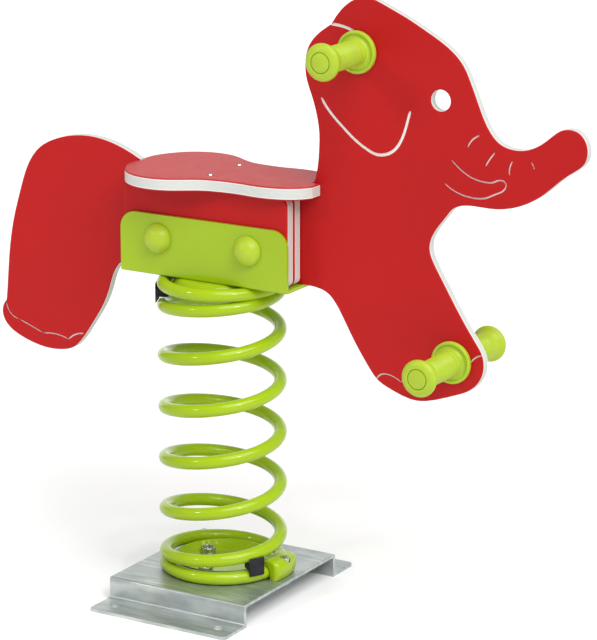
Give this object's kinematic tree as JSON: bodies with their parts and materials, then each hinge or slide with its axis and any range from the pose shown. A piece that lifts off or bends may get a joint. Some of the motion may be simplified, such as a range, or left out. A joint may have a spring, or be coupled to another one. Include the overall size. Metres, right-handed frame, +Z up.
{
  "type": "spring rider",
  "caption": "Playground spring rider: an elephant-shaped board with a seat, handle and footrest grips on a coil spring, clamped to a galvanised hat-section base plate.",
  "frame": {"origin": "on the ground, at the middle of the base plate's four anchor holes and on the spring's axis", "axes": "+Z up, +X the way the rider faces, +Y the rider's left"},
  "size_m": [0.9801, 0.37, 0.9132],
  "materials": {
    "galvanised_steel": "mottled hot-dip zinc",
    "green_coated_steel": "glossy powder coat",
    "green_plastic": "moulded, satin gloss",
    "red_board": "fine grain on red skins over a white core",
    "black_rubber": "matt",
    "zinc_fasteners": "bright zinc"
  },
  "bodies": {
    "base": {"base_plate": "galvanised_steel", "lower_dish": "green_coated_steel", "lower_clamp_bolts": "zinc_fasteners", "lower_clamp_washers": "zinc_fasteners", "lower_clamp_nuts": "zinc_fasteners", "lower_claw": "green_coated_steel", "lower_claw_screw": "zinc_fasteners", "lower_claw_nut": "zinc_fasteners", "lower_wedge": "black_rubber", "spring_lower_end": "green_coated_steel"},
    "coil_twist": {"spring_lower_turn": "green_coated_steel"},
    "coil_sway": {"spring_middle_turns": "green_coated_steel"},
    "coil_rock": {"spring_upper_turns": "green_coated_steel"},
    "rider": {"spring_upper_end": "green_coated_steel", "upper_wedge": "black_rubber", "upper_claw": "green_coated_steel", "upper_claw_screw": "zinc_fasteners", "upper_claw_nut": "zinc_fasteners", "upper_dish": "green_coated_steel", "upper_clamp_screws": "zinc_fasteners", "upper_clamp_washers": "zinc_fasteners", "upper_clamp_nuts": "zinc_fasteners", "saddle_bracket": "green_coated_steel", "body_panel": "red_board", "inner_spacer_left": "red_board", "outer_spacer_left": "red_board", "inner_spacer_right": "red_board", "outer_spacer_right": "red_board", "seat_board": "red_board", "seat_screws": "zinc_fasteners", "saddle_bolts": "zinc_fasteners", "saddle_washers": "zinc_fasteners", "saddle_nuts": "zinc_fasteners", "bolt_cap_bases": "green_plastic", "bolt_cap_domes": "green_plastic", "handle_rod": "zinc_fasteners", "handle_washers": "zinc_fasteners", "handle_nuts": "zinc_fasteners", "handle_grip_left": "green_plastic", "handle_cap_left": "green_plastic", "handle_grip_right": "green_plastic", "handle_cap_right": "green_plastic", "footrest_rod": "zinc_fasteners", "footrest_washers": "zinc_fasteners", "footrest_nuts": "zinc_fasteners", "footrest_grip_left": "green_plastic", "footrest_cap_left": "green_plastic", "footrest_grip_right": "green_plastic", "footrest_cap_right": "green_plastic"}
  },
  "joints": [
    {"name": "twist", "type": "hinge", "parent": "base", "child": "coil_twist", "pos_m": [0, 0, 0.085], "axis": [0, 0, 1], "range_deg": [-8, 8], "stiffness_Nm_per_rad": 400, "deforming": ["spring_lower_end", "spring_lower_turn", "spring_middle_turns", "spring_upper_turns", "spring_upper_end"]},
    {"name": "sway", "type": "hinge", "parent": "coil_twist", "child": "coil_sway", "pos_m": [0, 0, 0.169], "axis": [1, 0, 0], "range_deg": [-12, 12], "stiffness_Nm_per_rad": 420, "deforming": ["spring_lower_end", "spring_lower_turn", "spring_middle_turns", "spring_upper_turns", "spring_upper_end"]},
    {"name": "rock", "type": "hinge", "parent": "coil_sway", "child": "coil_rock", "pos_m": [0, 0, 0.294], "axis": [0, 1, 0], "range_deg": [-20, 20], "stiffness_Nm_per_rad": 420, "deforming": ["spring_lower_end", "spring_lower_turn", "spring_middle_turns", "spring_upper_turns", "spring_upper_end"]},
    {"name": "bounce", "type": "slide", "parent": "coil_rock", "child": "rider", "axis": [0, 0, 1], "range_m": [-0.03, 0.012], "stiffness_N_per_m": 50000, "deforming": ["spring_lower_end", "spring_lower_turn", "spring_middle_turns", "spring_upper_turns", "spring_upper_end"]}
  ]
}
